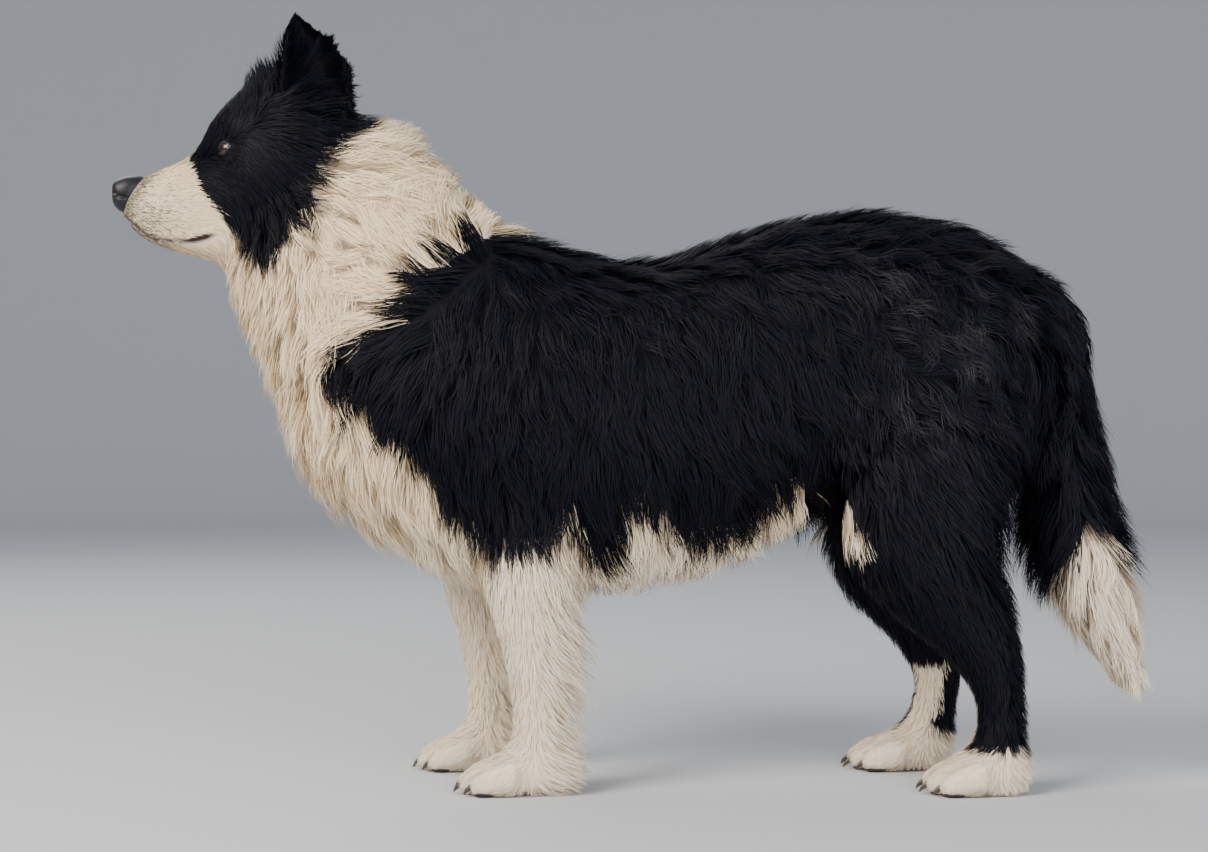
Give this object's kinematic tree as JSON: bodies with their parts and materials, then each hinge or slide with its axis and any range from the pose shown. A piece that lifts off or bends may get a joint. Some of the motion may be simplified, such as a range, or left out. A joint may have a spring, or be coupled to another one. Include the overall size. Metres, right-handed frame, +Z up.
{
  "type": "dog",
  "caption": "Still, life-size long-coated black and white collie, standing on four paws, head raised, prick ears, bushy tail hanging.",
  "frame": {"origin": "on the floor, under the middle of the dog's box", "axes": "+Z up; the dog faces -X, its left side faces -Y and its tail points to +X"},
  "size_m": [1.034, 0.2755, 0.754],
  "materials": {
    "black_coat": "long black fur with a soft sheen",
    "white_coat": "long cream-white fur, matt",
    "nose_leather": "damp black pebbled nose leather",
    "eye_brown": "wet dark brown eye"
  },
  "bodies": {
    "root": {"head": "black_coat", "jaw": "white_coat", "neck": "white_coat", "trunk": "black_coat", "tail": "black_coat", "nose": "nose_leather", "ear_left": "black_coat", "eye_left": "eye_brown", "foreleg_left": "white_coat", "forepaw_left": "white_coat", "hindleg_left": "black_coat", "hindpaw_left": "white_coat", "ear_right": "black_coat", "eye_right": "eye_brown", "foreleg_right": "white_coat", "forepaw_right": "white_coat", "hindleg_right": "black_coat", "hindpaw_right": "white_coat"}
  },
  "joints": []
}
